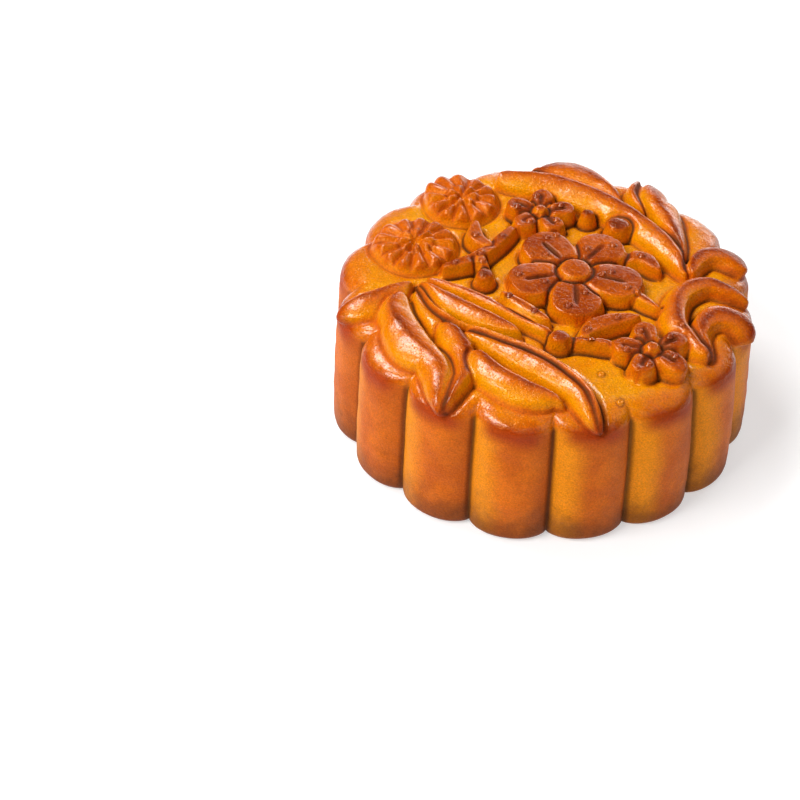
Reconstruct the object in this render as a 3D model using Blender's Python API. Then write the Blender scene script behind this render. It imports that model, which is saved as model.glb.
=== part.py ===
"""A baked mooncake: a round, sixteen-lobed pastry with a blossom and leaf relief pressed into its top.

One solid that stands on Z = 0 with its middle over the origin. Lengths are written in millimetres, and MM
turns them into Blender's metres where the mesh is made.

The skin is drawn on a flat "pattern sheet": pattern radius 0 is the middle of the top, and the radius grows
outwards over the top, then down over the rounded shoulder and down the side. The relief is laid on that
sheet, so a leaf that passes the rim bends down over the shoulder, as it does in a pressed pastry.
"""

import math

import bpy
import numpy as np

MM = 0.001
NAME = "mooncake"

# ---- Body ----------------------------------------------------------------------------------------------
LOBES = 16
FIRST_VALLEY = math.radians(225.7)  # direction of one groove between two lobes
FOOT_VALLEY_RADIUS = 38.1  # bottom of the grooves, at the foot
RIM_VALLEY_RADIUS = 37.3  # bottom of the grooves, where the shoulder starts
LOBE_BULGE = 3.0  # a lobe's crown stands this far out of its grooves
LOBE_UNEVENNESS = 0.10  # share by which one lobe's bulge differs from another's
BELLY = 0.35  # the side swells by this half way up
FOOT_ROUND = 1.6  # rounding where the side meets the base
SHOULDER_Z = 25.6  # the side ends and the shoulder starts here
SHOULDER_RISE = 3.8
SHOULDER_LAP = 7.0  # pattern length laid over the shoulder
TOP_RADIUS = 33.4  # the top ends and the shoulder starts here
CROWN = 0.5  # the middle of the top is this much higher than its edge
RIM_LIFT = 0.4  # the rim is this much higher on the side where it rose most
LIFT_DIRECTION = math.radians(130)
SEED = 16

# ---- Mesh ----------------------------------------------------------------------------------------------
COLUMNS = 20 * LOBES  # a whole number for each lobe, so that an edge runs down every groove
TOP_RINGS = 62
SHOULDER_RINGS = 12
SIDE_RINGS = 8
BASE_RINGS = 2
TRIANGLES = 9600  # what the finished solid is thinned to

# ---- Relief --------------------------------------------------------------------------------------------
EDGE_SLOPE = 0.8  # width of the slope from a raised shape down to what it lies on
GROOVE_DEPTH = 0.45  # the crease pressed around each raised shape
GROOVE_WIDTH = 0.7
SAMPLES_PER_SPAN = 9
SOFT_PASSES = 1


def leaf(spine, width, crest, edge, lean=(0.0, 0.0), belly=0.5, blunt=0.5, roundness=1.8):
    """A leaf along a spine: its widest width, the height of its crest and of its right and left edge, the
    side on which the crest runs at the leaf's start and end (-1 right ... 1 left, seen along the spine),
    where it is widest (0 ... 1), how bluntly it ends (less is blunter), and how flat its crest is."""
    return dict(spine=spine, width=width, crest=crest, edge=edge, lean=lean, belly=belly, blunt=blunt,
                roundness=roundness)


def bar(spine, width, height=2.5):
    """A flat-topped stroke with round ends."""
    return leaf(spine, width, height, (height - 0.4, height - 0.4), blunt=0.12, roundness=4)


BACK_LEAVES = [
    leaf([(-3.6, 32.6), (3.5, 33.8), (10.5, 30.8), (16.0, 25.7)], 7.0, 2.5, (0.8, 0.9), (0.4, 0.4), 0.45),
    leaf([(18.4, 31.2), (18.0, 27.0), (20.4, 21.4)], 4.2, 2.7, (1.0, 0.9), (0.2, 0.2), 0.4),
    leaf([(19.8, 30.8), (22.9, 24.6), (25.3, 17.2), (26.8, 8.0)],
         6.4, 2.7, (1.4, 1.0), (-0.1, 0.1), 0.45, roundness=1.5),
    leaf([(-9.4, 31.8), (2.0, 29.2), (12.8, 22.8), (21.8, 13.2), (27.2, 2.2)],
         7.4, 3.0, (0.9, 2.0), (0.65, 0.5), 0.4, 0.35, 1.9),
]
RIGHT_LEAVES = [
    leaf([(28.2, 2.4), (29.3, 6.4), (31.6, 9.0), (34.2, 8.6), (36.8, 5.2)],
         5.2, 2.3, (1.6, 1.4), (0.3, 0.3), blunt=0.35, roundness=2.4),
    leaf([(29.4, -20.3), (28.6, -13.8), (31.2, -9.2), (34.8, -9.4), (37.4, -13.0)],
         6.4, 2.3, (1.0, 1.3), (-0.3, 0.4), 0.58, 0.4),
    leaf([(28.4, -20.8), (24.0, -12.4), (25.2, -4.0), (31.0, -0.3), (37.4, -3.8)],
         6.4, 2.8, (1.7, 0.8), (-0.6, 0.5), 0.42, 0.45, 1.9),
]
STEM = leaf([(-23.4, -0.2), (-14.8, -5.0), (-6.4, -11.0), (3.4, -18.4)], 3.8, 2.2, (1.0, 1.3), blunt=0.2)
FRONT_LEAVES = [
    leaf([(-25.3, -0.8), (-29.2, -4.6), (-33.2, -7.6), (-38.0, -9.4)],
         7.2, 2.1, (1.2, 0.5), (-0.5, -0.5), 0.6, roundness=1.6),
    leaf([(-25.0, -1.4), (-23.9, -6.6), (-21.2, -12.4), (-17.4, -17.6)],
         6.4, 2.0, (0.8, 1.6), (0.7, 0.7), 0.6),
    leaf([(-20.0, -13.6), (-17.5, -20.0), (-16.7, -27.0), (-19.5, -34.2)],
         7.4, 2.8, (0.8, 1.3), (0.5, 0.3), 0.42, 0.5, 1.8),
    leaf([(-27.8, -4.8), (-28.7, -11.2), (-25.6, -19.2), (-21.2, -26.2), (-19.5, -34.4)],
         8.2, 2.9, (0.4, 1.4), (-0.5, 0.5), 0.42, 0.6, 1.9),
    leaf([(-25.2, -0.6), (-20.0, -6.6), (-12.8, -12.0), (-4.6, -16.6)],
         5.8, 2.7, (0.9, 1.5), (0.35, 0.35), 0.55, 0.6, 1.9),
    leaf([(-14.4, -21.6), (-11.6, -27.2), (-5.6, -31.6), (2.6, -34.6)],
         6.8, 2.8, (0.6, 1.4), (0.5, 0.4), 0.42, 0.5, 2.1),
    leaf([(-16.2, -15.6), (-6.4, -21.9), (3.2, -29.6), (8.8, -38.4)],
         7.2, 2.8, (0.8, 1.7), (0.4, 0.4), 0.5, 0.45, 2.0),
    leaf([(-25.2, -1.8), (-20.4, -11.2), (-10.8, -17.3), (-1.0, -23.2), (6.2, -31.0), (8.9, -38.2)],
         1.9, 3.1, (2.3, 2.3), blunt=0.25),
]
# The spray in the middle: strokes and leaves first, then berries, medallions and blossoms over them.
SPRAY = [
    bar([(-20.4, 2.2), (-14.6, 4.6), (-10.4, 9.2), (-6.0, 15.5)], 4.2),
    bar([(-13.0, 5.6), (-11.6, 1.4)], 3.4),
    leaf([(-10.6, 9.0), (-13.6, 12.0), (-13.6, 17.6)], 4.8, 2.5, (1.9, 1.9), roundness=3),
    leaf([(-9.2, -4.6), (-5.0, -8.6), (0.6, -13.2)], 4.4, 2.5, (1.6, 1.6), blunt=0.4),
    leaf([(8.0, 2.0), (14.0, -1.8), (21.6, -8.4)], 4.4, 2.3, (1.5, 1.5), blunt=0.35),
    leaf([(13.0, 6.0), (18.6, 7.0), (22.2, 2.6)], 5.0, 2.4, (1.9, 1.9), roundness=3),
    bar([(2.4, -18.0), (7.6, -18.4), (12.6, -19.4)], 3.6),
    leaf([(5.6, -17.6), (9.6, -13.2), (17.8, -10.8)], 5.4, 2.4, (1.9, 1.9), blunt=0.45, roundness=3),
]
BERRIES = [((14.4, 16.6), 3.1), ((8.6, 19.8), 2.2), ((-12.0, -0.4), 2.5), ((1.8, -18.2), 2.7)]
BERRY_HEIGHT = 3.0
# Each medallion: middle, radius, number of finger petals.
MEDALLIONS = [((-25.3, 10.2), 8.6, 13), ((-16.3, 24.9), 7.8, 12)]
# Each blossom: middle, reach of its petals, direction of its first petal in degrees.
BLOSSOMS = [((-0.8, 20.4), 7.2, 84), ((19.0, -20.4), 7.6, 30), ((5.4, 1.6), 13.6, 54)]
PETALS = 5
PETAL_HEIGHT = 2.7
VEIN_DEPTH = 0.45
HEART = 0.27  # radius of a blossom's heart, as a share of its reach


def smoothstep(x):
    x = np.clip(x, 0, 1)
    return x * x * (3 - 2 * x)


def spline(points):
    """Points along a smooth Catmull-Rom curve through the given ones."""
    p = np.array(points, float)
    t = np.linspace(0, len(p) - 1, SAMPLES_PER_SPAN * (len(p) - 1) + 1)
    p = np.vstack([2 * p[0] - p[1], p, 2 * p[-1] - p[-2]])
    i = np.minimum(t.astype(int), len(p) - 4)
    f = (t - i)[:, None]
    a, b, c, d = p[i], p[i + 1], p[i + 2], p[i + 3]
    return (2 * b + (c - a) * f + (2 * a - 5 * b + 4 * c - d) * f**2 + (3 * b - 3 * c + d - a) * f**3) / 2


def along_spine(points, x, y):
    """For each pattern point: how far along the spine its nearest point is (0 ... 1), and its distance from
    the spine, positive on the left."""
    path = spline(points)
    best = np.full(x.shape, np.inf)
    share = np.zeros(x.shape)
    side = np.zeros(x.shape)
    for k, (start, end) in enumerate(zip(path[:-1], path[1:])):
        step = end - start
        dx, dy = x - start[0], y - start[1]
        f = np.clip((dx * step[0] + dy * step[1]) / (step @ step), 0, 1)
        distance = np.hypot(dx - f * step[0], dy - f * step[1])
        nearer = distance < best
        best = np.where(nearer, distance, best)
        share = np.where(nearer, (k + f) / (len(path) - 1), share)
        side = np.where(nearer, np.sign(step[0] * dy - step[1] * dx), side)
    return share, best * np.where(side < 0, -1, 1)


def lay_over(relief, inside, height):
    """Lays a raised shape over the relief. inside is the distance in from the shape's outline, negative
    outside it. What lies beneath is creased around the outline."""
    crease = GROOVE_DEPTH * np.clip(height / 1.2, 0, 1) * np.exp(-(np.minimum(inside, 0) / GROOVE_WIDTH) ** 2)
    cover = smoothstep(inside / EDGE_SLOPE)
    return (relief - crease) * (1 - cover) + height * cover


def lay_leaf(relief, x, y, spine, width, crest, edge, lean, belly, blunt, roundness):
    t, d = along_spine(spine, x, y)
    swell = 4 * t ** (math.log(0.5) / math.log(belly))
    swell = np.clip(swell * (1 - swell / 4), 0, 1)
    half = np.maximum(width / 2 * swell**blunt, 1e-6)
    v = np.clip(d / half, -1, 1)
    ridge = lean[0] + (lean[1] - lean[0]) * t
    from_crest = np.where(v > ridge, (v - ridge) / (1 - ridge), (ridge - v) / (1 + ridge))
    foot = edge[0] + (edge[1] - edge[0]) * smoothstep((v + 1) / 2)
    height = foot + (crest - foot) * (1 - from_crest**roundness) * swell**0.3
    return lay_over(relief, half - np.abs(d), height)


def lay_berry(relief, x, y, middle, radius):
    d = np.hypot(x - middle[0], y - middle[1])
    dome = np.sqrt(np.clip(1 - (d / radius) ** 2, 0, 1))
    return lay_over(relief, radius - d, BERRY_HEIGHT * (0.45 + 0.55 * dome))


def lay_blossom(relief, x, y, middle, reach, first):
    """Five flat petals with a vein each, and a domed heart."""
    dx, dy = x - middle[0], y - middle[1]
    for k in range(PETALS):
        angle = math.radians(first + k * 360 / PETALS)
        out = np.array((math.cos(angle), math.sin(angle)))
        spine = [out * reach * 0.06 + middle, out * reach + middle]
        edge = PETAL_HEIGHT - 0.4, PETAL_HEIGHT - 0.4
        petal = leaf(spine, reach * 0.84, PETAL_HEIGHT, edge, belly=0.62, blunt=0.42, roundness=3)
        relief = lay_leaf(relief, x, y, **petal)
        along, across = dx * out[0] + dy * out[1], dy * out[0] - dx * out[1]
        vein = smoothstep((along / reach - 0.25) * 6) * smoothstep((0.82 - along / reach) * 6)
        relief = relief - VEIN_DEPTH * vein * np.exp(-((across / 0.55) ** 2))
    d = np.hypot(dx, dy)
    heart = reach * HEART
    dome = np.sqrt(np.clip(1 - (d / heart) ** 2, 0, 1))
    return lay_over(relief, heart - d, PETAL_HEIGHT - 0.2 + 0.7 * dome)


def lay_medallion(relief, x, y, middle, radius, fingers):
    """A low round plate that carries two rings of finger-shaped petals."""
    d = np.hypot(x - middle[0], y - middle[1])
    angle = np.arctan2(y - middle[1], x - middle[0])
    relief = lay_over(relief, radius - d, np.full(x.shape, 0.9))
    for count, inner, outer, height in ((fingers, 0.34, 0.92, 2.3), (fingers - 5, 0.08, 0.46, 2.8)):
        ridge = np.abs(np.cos(angle * count / 2)) ** 0.6
        halfway, reach = radius * (inner + outer) / 2, radius * (outer - inner) / 2
        length = np.clip(1 - (np.abs(d - halfway) / reach) ** 4, 0, 1)
        finger = (0.6 + (height - 0.6) * ridge) * np.sqrt(length)
        relief = np.where(length > 0, np.maximum(relief, finger), relief)
    return relief


def relief_at(x, y):
    """Height of the relief over the smooth body at pattern points."""
    relief = np.zeros(x.shape)
    for shape in BACK_LEAVES + RIGHT_LEAVES + [STEM] + FRONT_LEAVES + SPRAY:
        relief = lay_leaf(relief, x, y, **shape)
    for medallion in MEDALLIONS:
        relief = lay_medallion(relief, x, y, *medallion)
    for berry in BERRIES:
        relief = lay_berry(relief, x, y, *berry)
    for blossom in BLOSSOMS:
        relief = lay_blossom(relief, x, y, *blossom)
    return relief


def soften(relief):
    """Rounds the relief off a little, as baking does."""
    for _ in range(SOFT_PASSES):
        ahead, behind = np.roll(relief, 1, axis=1), np.roll(relief, -1, axis=1)
        relief = (ahead + 2 * relief + behind) / 4
        relief[1:-1] = (relief[:-2] + 2 * relief[1:-1] + relief[2:]) / 4
    return relief


def lobe_bulges():
    rng = np.random.default_rng(SEED)
    return LOBE_BULGE * (1 + LOBE_UNEVENNESS * rng.uniform(-1, 1, LOBES))


def side_radius(angle, z):
    """Radius of the lobed side at an angle and a height."""
    lobe = ((angle - FIRST_VALLEY) / (2 * math.pi / LOBES)) % LOBES
    across = np.abs(2 * (lobe % 1) - 1)  # 0 on a lobe's crown, 1 in a groove
    bulge = lobe_bulges()[lobe.astype(int) % LOBES] * (1 - across**2.2) ** 0.75
    up = np.clip(z / SHOULDER_Z, 0, 1)
    valley = FOOT_VALLEY_RADIUS + (RIM_VALLEY_RADIUS - FOOT_VALLEY_RADIUS) * up
    under = np.clip(1 - z / FOOT_ROUND, 0, 1)
    foot = FOOT_ROUND * (1 - np.sqrt(1 - under**2))
    return valley + bulge + BELLY * np.sin(math.pi * up) - foot


def skin(pattern_radius, angle):
    """(radius, z, tilt) of the smooth body under a pattern point. The tilt turns its outward direction from
    straight up (0) to level (90 degrees)."""
    lap = np.clip((pattern_radius - TOP_RADIUS) / SHOULDER_LAP, 0, 1)
    tilt = lap * math.pi / 2
    down = np.clip(pattern_radius - TOP_RADIUS - SHOULDER_LAP, 0, SHOULDER_Z)
    rim = side_radius(angle, SHOULDER_Z - down)
    inward = np.minimum(pattern_radius, TOP_RADIUS)
    radius = np.where(lap > 0, TOP_RADIUS + (rim - TOP_RADIUS) * np.sin(tilt), inward)
    dome = CROWN * (1 - (inward / TOP_RADIUS) ** 2)
    lift = RIM_LIFT * np.maximum(np.cos(angle - LIFT_DIRECTION), 0) * (radius / TOP_RADIUS) ** 2
    z = (SHOULDER_Z + SHOULDER_RISE * np.cos(tilt) + dome - down) * (1 + lift / SHOULDER_Z)
    return radius, z, tilt


def pattern_rings():
    """Pattern radii of the rings, from the middle of the top to the foot."""
    foot = TOP_RADIUS + SHOULDER_LAP + SHOULDER_Z
    top = np.linspace(0, TOP_RADIUS, TOP_RINGS, endpoint=False)
    shoulder = np.linspace(TOP_RADIUS, TOP_RADIUS + SHOULDER_LAP, SHOULDER_RINGS, endpoint=False)
    side = np.linspace(TOP_RADIUS + SHOULDER_LAP, foot - FOOT_ROUND, SIDE_RINGS, endpoint=False)
    rounding = foot - FOOT_ROUND * (1 - np.sin(np.linspace(0, math.pi / 2, 4)))
    return np.concatenate([top, shoulder, side, rounding])


def skin_grid():
    """Points of the whole skin in millimetres, as rings by columns, from the middle of the top to the
    middle of the base."""
    radii, angles = pattern_rings(), FIRST_VALLEY + np.arange(COLUMNS) * 2 * math.pi / COLUMNS
    s, a = np.meshgrid(radii, angles, indexing="ij")
    relief = soften(relief_at(s * np.cos(a), s * np.sin(a)))
    radius, z, tilt = skin(s, a)
    radius = radius + relief * np.sin(tilt)
    z = z + relief * np.cos(tilt)
    foot_radius = radius[-1]
    shrink = np.linspace(1, 0, BASE_RINGS + 1)[1:, None]
    radius = np.vstack([radius, foot_radius * shrink])
    z = np.vstack([z, np.zeros((BASE_RINGS, COLUMNS))])
    a = np.vstack([a, np.repeat(angles[None], BASE_RINGS, axis=0)])
    return np.stack([radius * np.cos(a), radius * np.sin(a), z], axis=-1)


def clear_scene():
    for old in list(bpy.data.objects):
        bpy.data.objects.remove(old, do_unlink=True)


def sphere_blank(rings):
    """A UV sphere, whose rings become the rings of the cake's skin, from pole to pole."""
    bpy.ops.mesh.primitive_uv_sphere_add(segments=COLUMNS, ring_count=rings, radius=1)
    blank = bpy.context.object
    blank.name = blank.data.name = NAME
    return blank


def shape_cake():
    """Moves each vertex of the blank to its place on the cake's skin, and thins the mesh."""
    grid = skin_grid()
    rings = len(grid) - 1
    cake = sphere_blank(rings)
    co = np.empty(len(cake.data.vertices) * 3)
    cake.data.vertices.foreach_get("co", co)
    x, y, z = co.reshape(-1, 3).T
    ring = np.rint(np.arccos(np.clip(z, -1, 1)) / math.pi * rings).astype(int)
    column = np.rint(np.arctan2(y, x) / (2 * math.pi) * COLUMNS).astype(int) % COLUMNS
    placed = grid[ring, column]
    middle = (placed.min(axis=0) + placed.max(axis=0)) / 2
    placed = placed - (middle[0], middle[1], 0)
    cake.data.vertices.foreach_set("co", (placed * MM).ravel())
    cake.data.update()
    thin = cake.modifiers.new("thin", "DECIMATE")
    thin.ratio = TRIANGLES / (2 * COLUMNS * (rings - 1))
    return cake


def crust_material():
    material = bpy.data.materials.new("crust")
    material.use_nodes = True
    shader = material.node_tree.nodes["Principled BSDF"]
    shader.inputs["Base Color"].default_value = (0.50, 0.17, 0.03, 1)
    shader.inputs["Roughness"].default_value = 0.4
    shader.inputs["Metallic"].default_value = 0
    return material


def main():
    clear_scene()
    collection = bpy.data.collections.new(NAME)
    bpy.context.scene.collection.children.link(collection)
    cake = shape_cake()
    for old in list(cake.users_collection):
        old.objects.unlink(cake)
    collection.objects.link(cake)
    cake.data.materials.append(crust_material())
    cake.data.shade_smooth()


main()
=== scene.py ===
# %% [markdown]
# # A baked mooncake
# A mooncake is a dense filled pastry. Its thin crust is pressed into a carved wooden mould, turned out,
# brushed with egg and baked. The mould gives it two things: a fluted side of sixteen lobes, and a relief of
# leaves and blossoms on the top. The egg gives the third: a glossy, browned glaze on top, over a side that
# stays matte. We load the fixed frame first, because every piece below is placed around it.

# %% Load the frame
import math

import bpy
import numpy as np
from mathutils import Matrix, Vector


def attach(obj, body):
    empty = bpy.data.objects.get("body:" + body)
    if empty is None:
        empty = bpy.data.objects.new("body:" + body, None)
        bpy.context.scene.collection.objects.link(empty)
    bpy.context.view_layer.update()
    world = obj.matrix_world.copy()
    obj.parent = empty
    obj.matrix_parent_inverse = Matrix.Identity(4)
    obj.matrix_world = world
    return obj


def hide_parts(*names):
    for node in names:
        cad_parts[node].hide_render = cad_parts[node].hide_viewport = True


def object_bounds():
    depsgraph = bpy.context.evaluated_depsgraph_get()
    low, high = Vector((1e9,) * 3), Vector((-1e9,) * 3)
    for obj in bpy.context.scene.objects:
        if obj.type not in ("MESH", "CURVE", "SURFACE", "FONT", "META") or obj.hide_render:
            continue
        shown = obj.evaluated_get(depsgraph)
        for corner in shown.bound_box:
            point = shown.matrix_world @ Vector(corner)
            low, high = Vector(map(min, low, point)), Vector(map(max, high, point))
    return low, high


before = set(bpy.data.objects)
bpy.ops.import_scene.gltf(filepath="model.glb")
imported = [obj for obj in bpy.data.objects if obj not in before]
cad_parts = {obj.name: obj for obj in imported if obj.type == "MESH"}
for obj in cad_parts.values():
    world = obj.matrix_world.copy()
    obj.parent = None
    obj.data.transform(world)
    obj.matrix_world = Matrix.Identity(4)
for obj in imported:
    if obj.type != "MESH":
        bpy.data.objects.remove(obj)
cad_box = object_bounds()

MM = 0.001
print("box in mm", [round(v / MM, 2) for corner in cad_box for v in corner])

# %% [markdown]
# ## The pattern sheet
# A relief is easiest to draw flat. So we think of the crust as a round "pattern sheet": its radius is 0 in
# the middle of the top, grows outwards over the top, then down over the rounded shoulder and down the side.
# A leaf drawn on the sheet bends over the shoulder by itself once the sheet is laid on the body, just as
# the dough did in the mould. All lengths here are in millimetres.

# %% Sizes of the body
LOBES = 16
FIRST_VALLEY = math.radians(225.7)
FOOT_VALLEY_RADIUS = 38.1
RIM_VALLEY_RADIUS = 37.3
LOBE_BULGE = 3.0
LOBE_FLATNESS = 2.2
LOBE_FULLNESS = 0.75
LOBE_UNEVENNESS = 0.10
BELLY = 0.35
FOOT_ROUND = 1.6
SHOULDER_Z = 25.6
SHOULDER_RISE = 3.8
SHOULDER_LAP = 7.0
TOP_RADIUS = 33.4
CROWN = 0.5
RIM_LIFT = 0.4
LIFT_DIRECTION = math.radians(130)
LOBE_SEED = 16
FOOT = TOP_RADIUS + SHOULDER_LAP + SHOULDER_Z
print("the sheet runs from 0 to", FOOT, "mm")

# %% [markdown]
# ## Laying the sheet on the body
# Each lobe bulges out of its two grooves in a full, round curve. Two exponents give that curve: a plain
# circle would make the grooves too open, and a real mould cuts them narrow. The shoulder is a quarter of an
# ellipse, so the top turns into the side with no edge.

# %% Lay the sheet on the body
def lobe_phase(angle):
    """Which lobe an angle is on, and how far across it: -1 in one groove, 0 on the crown, 1 in the next."""
    lobe = ((angle - FIRST_VALLEY) / (2 * math.pi / LOBES)) % LOBES
    return lobe.astype(int) % LOBES, 2 * (lobe % 1) - 1


def side_radius(angle, z):
    bulges = np.random.default_rng(LOBE_SEED).uniform(-1, 1, LOBES)
    bulges = LOBE_BULGE * (1 + LOBE_UNEVENNESS * bulges)
    lobe, across = lobe_phase(angle)
    bulge = bulges[lobe] * (1 - np.abs(across) ** LOBE_FLATNESS) ** LOBE_FULLNESS
    up = np.clip(z / SHOULDER_Z, 0, 1)
    valley = FOOT_VALLEY_RADIUS + (RIM_VALLEY_RADIUS - FOOT_VALLEY_RADIUS) * up
    under = np.clip(1 - z / FOOT_ROUND, 0, 1)
    return valley + bulge + BELLY * np.sin(math.pi * up) - FOOT_ROUND * (1 - np.sqrt(1 - under**2))


def skin(sheet_radius, angle):
    """(radius, z, tilt) of the smooth body under a point of the sheet."""
    lap = np.clip((sheet_radius - TOP_RADIUS) / SHOULDER_LAP, 0, 1)
    tilt = lap * math.pi / 2
    down = np.clip(sheet_radius - TOP_RADIUS - SHOULDER_LAP, 0, SHOULDER_Z)
    rim = side_radius(angle, SHOULDER_Z - down)
    inward = np.minimum(sheet_radius, TOP_RADIUS)
    radius = np.where(lap > 0, TOP_RADIUS + (rim - TOP_RADIUS) * np.sin(tilt), inward)
    dome = CROWN * (1 - (inward / TOP_RADIUS) ** 2)
    lift = RIM_LIFT * np.maximum(np.cos(angle - LIFT_DIRECTION), 0) * (radius / TOP_RADIUS) ** 2
    z = (SHOULDER_Z + SHOULDER_RISE * np.cos(tilt) + dome - down) * (1 + lift / SHOULDER_Z)
    return radius, z, tilt


groove_and_crown = FIRST_VALLEY + np.array([0, math.pi / LOBES])
print("groove and crown radius halfway up", side_radius(groove_and_crown, SHOULDER_Z / 2).round(2))

# %% [markdown]
# ## Leaves
# A leaf is a curved spine with a width that swells and tapers along it, and a cross-section with a crest.
# Few numbers describe one: the points its spine passes through, its width, how high its crest and its edge
# stand, to which side the crest leans, where it is widest, how blunt its ends are and how round its crest
# is. The same recipe, with a flat crest, also makes the bars of the twigs and the petals of the blossoms.

# %% The leaves
def leaf(spine, width, crest, edge, lean=(0.0, 0.0), belly=0.5, blunt=0.5, roundness=1.8):
    """Edge and lean are pairs: the heights of the right and left edge, the lean at the start and the end."""
    return dict(spine=spine, width=width, crest=crest, edge=edge, lean=lean, belly=belly, blunt=blunt,
                roundness=roundness)


BAR_HEIGHT = 2.5
FLAT_EDGE_DROP = 0.4


def bar(spine, width):
    edge = BAR_HEIGHT - FLAT_EDGE_DROP
    return leaf(spine, width, BAR_HEIGHT, (edge, edge), blunt=0.12, roundness=4)


BACK_LEAVES = [
    leaf([(-3.6, 32.6), (3.5, 33.8), (10.5, 30.8), (16.0, 25.7)], 7.0, 2.5, (0.8, 0.9), (0.4, 0.4), 0.45),
    leaf([(18.4, 31.2), (18.0, 27.0), (20.4, 21.4)], 4.2, 2.7, (1.0, 0.9), (0.2, 0.2), 0.4),
    leaf([(19.8, 30.8), (22.9, 24.6), (25.3, 17.2), (26.8, 8.0)],
         6.4, 2.7, (1.4, 1.0), (-0.1, 0.1), 0.45, roundness=1.5),
    leaf([(-9.4, 31.8), (2.0, 29.2), (12.8, 22.8), (21.8, 13.2), (27.2, 2.2)],
         7.4, 3.0, (0.9, 2.0), (0.65, 0.5), 0.4, 0.35, 1.9),
]
RIGHT_LEAVES = [
    leaf([(28.2, 2.4), (29.3, 6.4), (31.6, 9.0), (34.2, 8.6), (36.8, 5.2)],
         5.2, 2.3, (1.6, 1.4), (0.3, 0.3), blunt=0.35, roundness=2.4),
    leaf([(29.4, -20.3), (28.6, -13.8), (31.2, -9.2), (34.8, -9.4), (37.4, -13.0)],
         6.4, 2.3, (1.0, 1.3), (-0.3, 0.4), 0.58, 0.4),
    leaf([(28.4, -20.8), (24.0, -12.4), (25.2, -4.0), (31.0, -0.3), (37.4, -3.8)],
         6.4, 2.8, (1.7, 0.8), (-0.6, 0.5), 0.42, 0.45, 1.9),
]
STEM = leaf([(-23.4, -0.2), (-14.8, -5.0), (-6.4, -11.0), (3.4, -18.4)], 3.8, 2.2, (1.0, 1.3), blunt=0.2)
FRONT_LEAVES = [
    leaf([(-25.3, -0.8), (-29.2, -4.6), (-33.2, -7.6), (-38.0, -9.4)],
         7.2, 2.1, (1.2, 0.5), (-0.5, -0.5), 0.6, roundness=1.6),
    leaf([(-25.0, -1.4), (-23.9, -6.6), (-21.2, -12.4), (-17.4, -17.6)],
         6.4, 2.0, (0.8, 1.6), (0.7, 0.7), 0.6),
    leaf([(-20.0, -13.6), (-17.5, -20.0), (-16.7, -27.0), (-19.5, -34.2)],
         7.4, 2.8, (0.8, 1.3), (0.5, 0.3), 0.42, 0.5, 1.8),
    leaf([(-27.8, -4.8), (-28.7, -11.2), (-25.6, -19.2), (-21.2, -26.2), (-19.5, -34.4)],
         8.2, 2.9, (0.4, 1.4), (-0.5, 0.5), 0.42, 0.6, 1.9),
    leaf([(-25.2, -0.6), (-20.0, -6.6), (-12.8, -12.0), (-4.6, -16.6)],
         5.8, 2.7, (0.9, 1.5), (0.35, 0.35), 0.55, 0.6, 1.9),
    leaf([(-14.4, -21.6), (-11.6, -27.2), (-5.6, -31.6), (2.6, -34.6)],
         6.8, 2.8, (0.6, 1.4), (0.5, 0.4), 0.42, 0.5, 2.1),
    leaf([(-16.2, -15.6), (-6.4, -21.9), (3.2, -29.6), (8.8, -38.4)],
         7.2, 2.8, (0.8, 1.7), (0.4, 0.4), 0.5, 0.45, 2.0),
    leaf([(-25.2, -1.8), (-20.4, -11.2), (-10.8, -17.3), (-1.0, -23.2), (6.2, -31.0), (8.9, -38.2)],
         1.9, 3.1, (2.3, 2.3), blunt=0.25),
]
print(len(BACK_LEAVES + RIGHT_LEAVES + FRONT_LEAVES) + 1, "leaves and a stem")

# %% [markdown]
# ## The blossom spray
# The middle of the mould carries a spray of plum blossoms, with twigs, small leaves, round buds and two
# chrysanthemum medallions, a common choice for festive pastry. A bud is a middle and a radius, a medallion
# adds its number of petals, and a blossom has a middle, a reach and the direction of its first petal.

# %% The spray
TWIGS = [
    bar([(-20.4, 2.2), (-14.6, 4.6), (-10.4, 9.2), (-6.0, 15.5)], 4.2),
    bar([(-13.0, 5.6), (-11.6, 1.4)], 3.4),
    bar([(2.4, -18.0), (7.6, -18.4), (12.6, -19.4)], 3.6),
]
SMALL_LEAVES = [
    leaf([(-10.6, 9.0), (-13.6, 12.0), (-13.6, 17.6)], 4.8, 2.5, (1.9, 1.9), roundness=3),
    leaf([(-9.2, -4.6), (-5.0, -8.6), (0.6, -13.2)], 4.4, 2.5, (1.6, 1.6), blunt=0.4),
    leaf([(8.0, 2.0), (14.0, -1.8), (21.6, -8.4)], 4.4, 2.3, (1.5, 1.5), blunt=0.35),
    leaf([(13.0, 6.0), (18.6, 7.0), (22.2, 2.6)], 5.0, 2.4, (1.9, 1.9), roundness=3),
    leaf([(5.6, -17.6), (9.6, -13.2), (17.8, -10.8)], 5.4, 2.4, (1.9, 1.9), blunt=0.45, roundness=3),
]
BUDS = [((14.4, 16.6), 3.1), ((8.6, 19.8), 2.2), ((-12.0, -0.4), 2.5), ((1.8, -18.2), 2.7)]
BUD_HEIGHT = 3.0
MEDALLIONS = [((-25.3, 10.2), 8.6, 13), ((-16.3, 24.9), 7.8, 12)]
BLOSSOMS = [((-0.8, 20.4), 7.2, 84), ((19.0, -20.4), 7.6, 30), ((5.4, 1.6), 13.6, 54)]
PETALS = 5
print(len(BLOSSOMS), "blossoms,", len(BUDS), "buds,", len(MEDALLIONS), "medallions")

# %% [markdown]
# ## From a spine to a height
# For each point of the sheet we need its nearest place on a spine. Catmull-Rom curves pass through the
# given points, so a spine can be read straight off its list, and short straight steps along the curve make
# the search simple.

# %% Curves
SAMPLES_PER_SPAN = 9


def smoothstep(x):
    x = np.clip(x, 0, 1)
    return x * x * (3 - 2 * x)


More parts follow.
